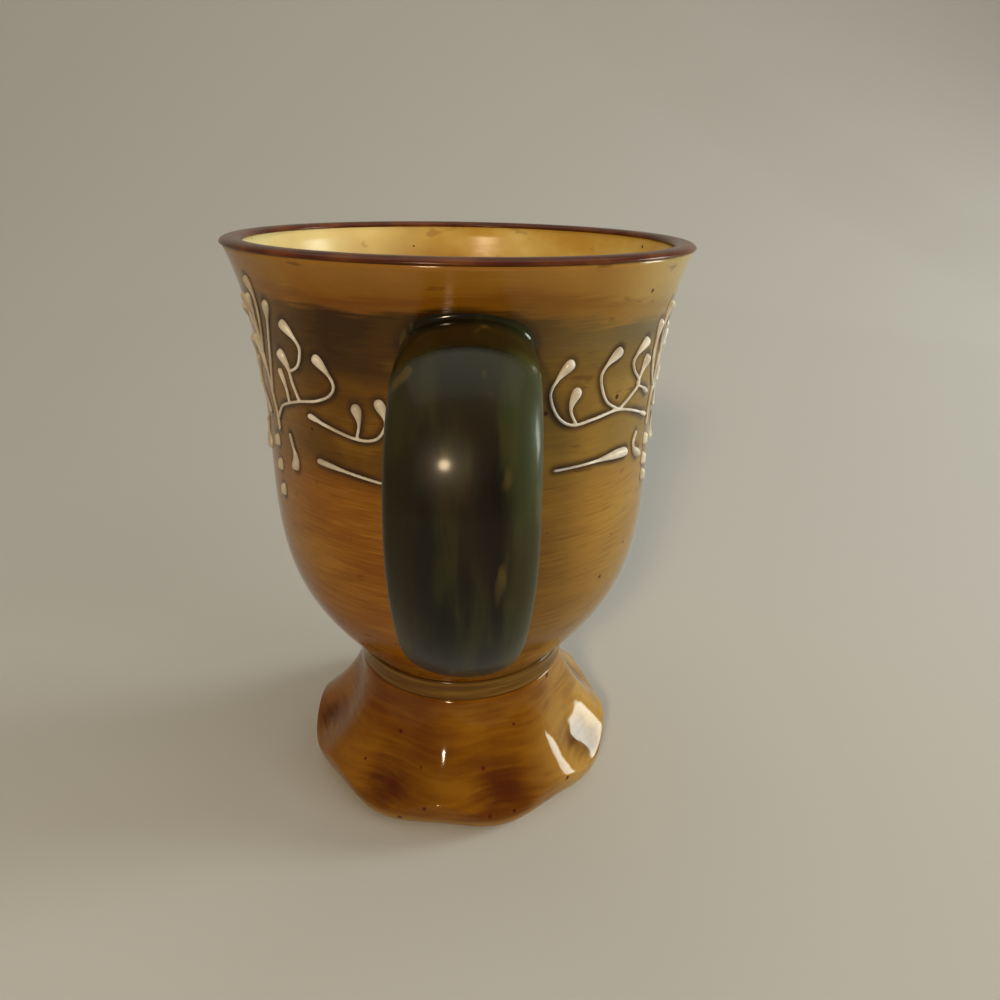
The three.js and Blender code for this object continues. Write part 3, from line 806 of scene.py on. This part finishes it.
def amber_outside():
    glaze = Glaze("amber_outside", 0.11)
    lines = glaze.noise(130, (1, 1, 18), detail=2)
    clouds = glaze.noise(26, (1, 1, 3), (3, 1, 0), detail=3)
    patches = glaze.noise(52, (1, 1, 1.6), (0, 5, 2), detail=4)
    bristles = glaze.noise(110, (1, 1, 17), (2, 7, 1), detail=5)
    mottled = glaze.blend(patches, 0.78, lines)
    streaked = glaze.blend(lines, 0.24, clouds)
    dappled = glaze.blend(lines, 0.12, patches)
    honey = glaze.ramp(dappled, (0.36, "#74490a"), (0.5, "#80540e"), (0.64, "#926a20"))
    orange = glaze.ramp(
        streaked, (0.36, "#6c3b02"), (0.47, "#7b4904"), (0.55, "#845308"), (0.66, "#946616")
    )
    gold = glaze.ramp(mottled, (0.36, "#503503"), (0.5, "#634305"), (0.64, "#7c5a10"))
    dark = glaze.ramp(mottled, (0.36, "#362203"), (0.5, "#462e04"), (0.64, "#5e460e"))

    # Every layer turns lighter and khaki towards +X, partly glaze tone and partly painted light on the
    # window side, and the bristles have left their marks on the lower one
    aside = glaze.sideways(-4, 36)
    honey, orange, gold, dark = (
        glaze.tint(layer, aside, share, "#967b3a")
        for layer, share in ((honey, 0.45), (orange, 0.54), (gold, 0.5), (dark, 0.36))
    )
    orange = glaze.tint(orange, glaze.span(bristles, 0.5, 0.68), 0.36, "#5e3803")
    orange = glaze.tint(orange, glaze.span(bristles, 0.46, 0.3), 0.24, "#a67c2e")

    # The brushed olive band: dark above, golden below, with a fairly sharp upper edge that dips towards +X
    sway = glaze.times(glaze.math("SUBTRACT", clouds, 0.5), BAND_SWAY)
    fray = glaze.times(glaze.math("SUBTRACT", lines, 0.5), BAND_FRAY)
    level = glaze.math("ADD", glaze.height, glaze.math("ADD", sway, fray))
    upper = glaze.math("ADD", level, glaze.times(aside, BAND_DIP))
    wisps = glaze.noise(30, (1, 1, 7), (6, 2, 4), detail=3)
    cool = glaze.times(glaze.span(level, *COOL_RISE), glaze.span(wisps, 0.38, 0.6))
    cool = glaze.times(cool, glaze.times(glaze.sideways(4, 44), 0.6))
    dark = glaze.over(dark, cool, "#544f3a")
    olive = glaze.over(gold, glaze.span(level, *DARK_RISE), dark)
    colour = glaze.over(orange, glaze.span(level, *OLIVE_RISE), olive)
    colour = glaze.over(colour, glaze.span(upper, *HONEY_RISE), honey)
    rust = glaze.span(glaze.away_from(upper, RUST_HEIGHT), RUST_REACH, 0)
    colour = glaze.tint(colour, rust, 0.4, "#5c3002")
    colour = glaze.tint(colour, glaze.upwards(120.5, 127), 0.5, "#9c7232")

    # Tan towards -X, a painted sheen along that side, and pale near the lip towards +X, a painted reflection
    # of the window
    colour = glaze.tint(colour, glaze.sideways(-22, -44), 0.5, "#8e7245")
    pale = glaze.times(glaze.sideways(22, 46), glaze.upwards(113, 126))
    colour = glaze.tint(colour, pale, 0.7, "#b6a266")

    # Glaze pools dark and uneven beside the slip and the handle's roots, with painted shade beside those
    # raised parts, and a few specks have burnt through
    halo = glaze.add("ShaderNodeAttribute", attribute_name="slip_halo").outputs["Fac"]
    uneven = glaze.span(glaze.noise(90, detail=2), 0.0, 0.68)
    pooled_and_shaded = glaze.times(glaze.span(halo, 0.3, 0.95), uneven)
    colour = glaze.over(colour, pooled_and_shaded, "#2c1906")
    marks = glaze.span(glaze.noise(120, (1, 1, 4), (9, 3, 5), detail=2), 0.66, 0.75)
    colour = glaze.tint(colour, marks, 0.45, "#4a2403")
    colour = glaze.over(colour, glaze.specks(210, 0.15, 0.7), "#3a1a06")
    relief = glaze.blend(lines, 0.25, glaze.noise(70, (1, 1, 1.5), detail=2))
    return glaze.finish(colour, relief, 0.16 * MM)


def amber_inside():
    glaze = Glaze("amber_inside", 0.26)
    clouds = glaze.noise(40, (1, 1, 1.4), (7, 2, 1), detail=4)
    colour = glaze.ramp(clouds, (0.34, "#a87c24"), (0.5, "#c29c44"), (0.66, "#d6bc72"))
    # Paler towards -X: painted light on the inside wall that faces the window
    colour = glaze.tint(colour, glaze.sideways(10, -44), 0.55, "#dfd29a")
    smudges = glaze.span(glaze.noise(150, (1, 1, 2), (1, 8, 3), detail=3), 0.62, 0.72)
    colour = glaze.tint(colour, smudges, 0.4, "#7a4a0e")
    colour = glaze.over(colour, glaze.specks(220, 0.13, 0.6), "#4a2a0a")
    relief = glaze.noise(60, (1, 1, 3), detail=3)
    return glaze.finish(colour, relief, 0.12 * MM)


def brown_lip():
    glaze = Glaze("brown_lip", 0.22)
    clouds = glaze.noise(130, (1, 1, 2), detail=4)
    colour = glaze.ramp(clouds, (0.34, "#421c08"), (0.5, "#50240b"), (0.66, "#643616"))
    return glaze.finish(colour, clouds, 0.05 * MM)


def olive_collar():
    glaze = Glaze("olive_collar", 0.15)
    lines = glaze.noise(60, (1, 1, 16), detail=4)
    colour = glaze.ramp(lines, (0.35, "#54390c"), (0.5, "#624411"), (0.65, "#71531d"))
    away = glaze.away_from(glaze.height, (collar_low.z + collar_high.z) / 2)
    colour = glaze.tint(colour, glaze.span(away, *COLLAR_SHADE), 0.7, "#2c1605")
    return glaze.finish(colour, lines, 0.06 * MM)


def foot_amber():
    glaze = Glaze("foot_amber", 0.09)
    lines = glaze.noise(90, (1, 1, 11), (2, 0, 3), detail=3)
    clouds = glaze.noise(55, (1, 1, 1.5), (4, 4, 0), detail=4)
    brushed = glaze.blend(lines, 0.32, clouds)
    colour = glaze.ramp(brushed, (0.34, "#613501"), (0.5, "#6f4302"), (0.66, "#825609"))
    # Lighter towards -X and lighter still towards +X: painted light on both flanks of the foot, strongest on
    # the window side
    colour = glaze.tint(colour, glaze.sideways(-18, -34), 0.4, "#8c5c22")
    colour = glaze.tint(colour, glaze.sideways(12, 34), 0.62, "#b8934a")
    colour = glaze.tint(colour, glaze.span(brushed, 0.5, 0.36), 0.45, "#5a3001")

    # Glaze has run down the scoops and pooled dark above each corner
    out = glaze.math("SUBTRACT", AXIS_Y, glaze.deep)
    turn = glaze.math("SUBTRACT", glaze.math("ARCTAN2", glaze.across, out), FOOT_CORNER_AZIMUTH)
    corner = glaze.span(glaze.math("COSINE", glaze.times(turn, FOOT_SIDES)), -0.4, 1.0)
    pool = glaze.times(corner, glaze.span(glaze.away_from(glaze.height, POOL_HEIGHT), *POOL_FADE))
    pool = glaze.times(pool, glaze.span(brushed, 0.68, 0.4))
    colour = glaze.tint(colour, pool, 0.8, "#421602")
    colour = glaze.tint(colour, glaze.upwards(5.2, 2.8), 0.65, "#9c762c")
    colour = glaze.over(colour, glaze.specks(200, 0.2, 0.9), "#4a1805")
    relief = glaze.blend(glaze.noise(170, (1, 1, 1), (5, 1, 7), detail=1), 0.6, clouds)
    return glaze.finish(colour, relief, 0.34 * MM)


def dark_handle():
    glaze = Glaze("dark_handle", HANDLE_GLOSS)

    def past_crest(start, end):
        return glaze.span(glaze.deep, -CREST + start * MM, -CREST + end * MM)

    streaks = glaze.noise(75, (4, 0.6, 0.6), detail=3)
    clouds = glaze.noise(45, (1.6, 1, 0.7), (1, 6, 2), detail=3)
    mottled = glaze.blend(streaks, 0.5, clouds)
    colour = glaze.ramp(mottled, (0.4, "#090801"), (0.5, "#131305"), (0.6, "#2b2d0f"))
    colour = glaze.tint(colour, glaze.sideways(-4, -10), 0.55, "#2a260b")
    # Greener and lighter towards +X, partly glaze tone and partly painted light on the window side
    colour = glaze.tint(colour, glaze.sideways(5, 10.5), 0.7, "#3c4424")
    # Blue-grey lower down: a painted reflection of the floor
    colour = glaze.tint(colour, glaze.upwards(80, 62), 0.6, "#151c1a")
    colour = glaze.tint(colour, past_crest(-0.5, 4), 0.7, "#1a1507")
    # A painted sheen on the strap's crest, where it turns from its arm to its outside
    crest = glaze.times(past_crest(1, -1.2), glaze.upwards(104, 116))
    colour = glaze.tint(colour, crest, 0.5, "#2e2e1a")
    brown = glaze.span(glaze.noise(60, (1.2, 1, 0.6), (8, 1, 4), detail=3), 0.5, 0.7)
    colour = glaze.tint(colour, brown, 0.45, "#2a1907")
    flecks = glaze.span(glaze.noise(150, (1.5, 1, 0.5), (3, 2, 8), detail=2), 0.62, 0.72)
    colour = glaze.tint(colour, flecks, 0.55, "#5a4a20")

    # Rubbed to a satin on the outside of the strap, under what is left of the gloss
    roughness = glaze.math("ADD", glaze.times(past_crest(1, -2), RUBBED_ROUGHER), HANDLE_GLOSS)
    glaze.shader.inputs["Specular IOR Level"].default_value = HANDLE_SPECULAR
    glaze.shader.inputs["Coat Weight"].default_value = COAT_WEIGHT
    glaze.shader.inputs["Coat Roughness"].default_value = COAT_ROUGHNESS
    return glaze.finish(colour, mottled, 0.05 * MM, roughness)


def cream_slip():
    glaze = Glaze("cream_slip", 0.2)
    clouds = glaze.noise(180, detail=3)
    colour = glaze.ramp(clouds, (0.34, "#b4aa97"), (0.5, "#cac2b1"), (0.66, "#dfdacd"))
    # Darker towards -X: painted shade on the slip on the side away from the window
    colour = glaze.tint(colour, glaze.sideways(-31, -39), 0.4, "#86714f")
    return glaze.finish(colour, clouds, 0.03 * MM)


def line_inside(piece, lining):
    """Gives the faces inside the bowl the lining's material."""
    piece.data.materials.append(lining)
    for face in piece.data.polygons:
        out = Vector((face.center.x, face.center.y - AXIS_Y, 0))
        on_floor = face.normal.z > FLAT_FLOOR and out.length < FLOOR_CORNER.x
        inside = face.normal.dot(out) < 0 or on_floor
        face.material_index = 1 if inside else 0


# Pieces
bowl_body = bowl()
trails = all_trails()
upper_lute = lute("upper_lute", UPPER_ROOT.y, ROOT_SHIFT, UPPER_TAPER)
lower_lute = lute("lower_lute", LOWER_ROOT.y, 0.0, LOWER_TAPER)
mark_halo(bowl_body, [*trails.values(), upper_lute, lower_lute])
bowl_body.data.materials.append(amber_outside())
line_inside(bowl_body, amber_inside())
dress(bowl_body, None, "amber_glaze", "bowl")
slip = cream_slip()
for node, trail in trails.items():
    dress(trail, slip, "cream_slip", node)
dress(lip(), brown_lip(), "brown_slip", "lip_band")
dress(collar(), olive_collar(), "olive_glaze", "waist_collar")
dress(foot(), foot_amber(), "amber_glaze", "foot")

dark = dark_handle()
dress(strap(), dark, "dark_glaze", "handle")
dress(upper_lute, dark, "dark_glaze", "handle_upper_lute")
dress(lower_lute, dark, "dark_glaze", "handle_lower_lute")


# Stage, light and camera
def select_edges(piece, wanted):
    """Selects the edges whose ends are both wanted."""
    vertices = piece.data.vertices
    for edge in piece.data.edges:
        edge.select = all(wanted(vertices[i].co) for i in edge.vertices)


def sweep():
    """A pale paper sweep: a floor whose far edge is drawn up into a wall, with a wide bend between them."""
    bpy.ops.object.select_all(action="DESELECT")
    bpy.ops.mesh.primitive_plane_add(size=1)
    piece = bpy.context.object
    piece.name = "sweep"
    bpy.ops.object.mode_set(mode="EDIT")
    bpy.ops.mesh.select_all(action="SELECT")
    bpy.ops.transform.resize(value=(SWEEP_WIDTH, SWEEP_DEPTH, 1))
    bpy.ops.transform.translate(value=(0, SWEEP_SHIFT, 0))
    bpy.ops.object.mode_set(mode="OBJECT")
    far = max(vertex.co.y for vertex in piece.data.vertices)
    for group in (piece.data.vertices, piece.data.edges, piece.data.polygons):
        for item in group:
            item.select = False
    select_edges(piece, lambda place: place.y == far)
    bpy.ops.object.mode_set(mode="EDIT")
    bpy.ops.mesh.extrude_region_move(TRANSFORM_OT_translate={"value": (0, 0, SWEEP_HEIGHT)})
    bpy.ops.object.mode_set(mode="OBJECT")
    select_edges(piece, lambda place: place.y == far and place.z == 0)
    bpy.ops.object.mode_set(mode="EDIT")
    bpy.ops.mesh.bevel(offset=SWEEP_BEND, segments=SWEEP_BEND_STEPS)
    bpy.ops.object.mode_set(mode="OBJECT")
    bpy.ops.object.shade_smooth()
    paper = bpy.data.materials.new("pale_paper")
    paper.use_nodes = True
    sockets = paper.node_tree.nodes["Principled BSDF"].inputs
    sockets["Base Color"].default_value = paint("#b8b7b1")
    sockets["Roughness"].default_value = 1.0
    sockets["Specular IOR Level"].default_value = PAPER_SPECULAR
    piece.data.materials.append(paper)


def softbox(name, place, size, power, colour, spread=180):
    """A soft lamp that faces the mug."""
    lamp = bpy.data.lights.new(name, "AREA")
    lamp.shape = "RECTANGLE"
    lamp.size, lamp.size_y = size
    lamp.energy = power
    lamp.spread = math.radians(spread)
    lamp.color = paint(colour)[:3]
    box = bpy.data.objects.new(name, lamp)
    box.location = place
    box.rotation_euler = (Vector(LIT_PLACE) - Vector(place)).to_track_quat("-Z", "Y").to_euler()
    bpy.context.scene.collection.objects.link(box)
    return box


def surroundings():
    """An even glow from all sides."""
    world = bpy.data.worlds.new("room")
    bpy.context.scene.world = world
    world.use_nodes = True
    sockets = world.node_tree.nodes["Background"].inputs
    sockets["Color"].default_value = paint("#d9d3c8")
    sockets["Strength"].default_value = WORLD_STRENGTH


def camera():
    eye = bpy.data.cameras.new("eye")
    eye.lens = EYE_LENS
    eye.clip_start = EYE_NEAREST
    piece = bpy.data.objects.new("eye", eye)
    turn = Matrix.Rotation(-EYE_YAW, 4, "Z")
    turn = turn @ Matrix.Rotation(math.pi / 2 - EYE_PITCH, 4, "X")
    turn = turn @ Matrix.Rotation(EYE_ROLL, 4, "Z")
    piece.matrix_world = Matrix.Translation((0, AXIS_Y - EYE_BACK, EYE_HEIGHT)) @ turn
    bpy.context.scene.collection.objects.link(piece)
    bpy.context.scene.camera = piece


sweep()
softbox("window", WINDOW_PLACE, size=(0.25, 0.33), power=1.8, colour="#f0f6ea", spread=WINDOW_SPREAD)
spill = softbox(
    "window_spill", WINDOW_PLACE, size=(0.36, 0.44), power=1.4, colour="#eef4ff", spread=WINDOW_SPREAD
)
spill.visible_glossy = False
fill = softbox("room", place=(0.8, -0.5, 0.55), size=(0.8, 0.8), power=3.6, colour="#f6f4ee")
fill.visible_glossy = False
lamp = softbox("lamp", place=(-0.235, -0.797, 0.504), size=(0.11, 0.11), power=4.5, colour="#ffe2b8")
lamp.data.shape = "DISK"
softbox("sky", place=(0.0, 0.6, 1.3), size=(2.0, 1.8), power=8.5, colour="#faf8f2")
surroundings()
camera()
bpy.context.scene.view_settings.view_transform = "Standard"
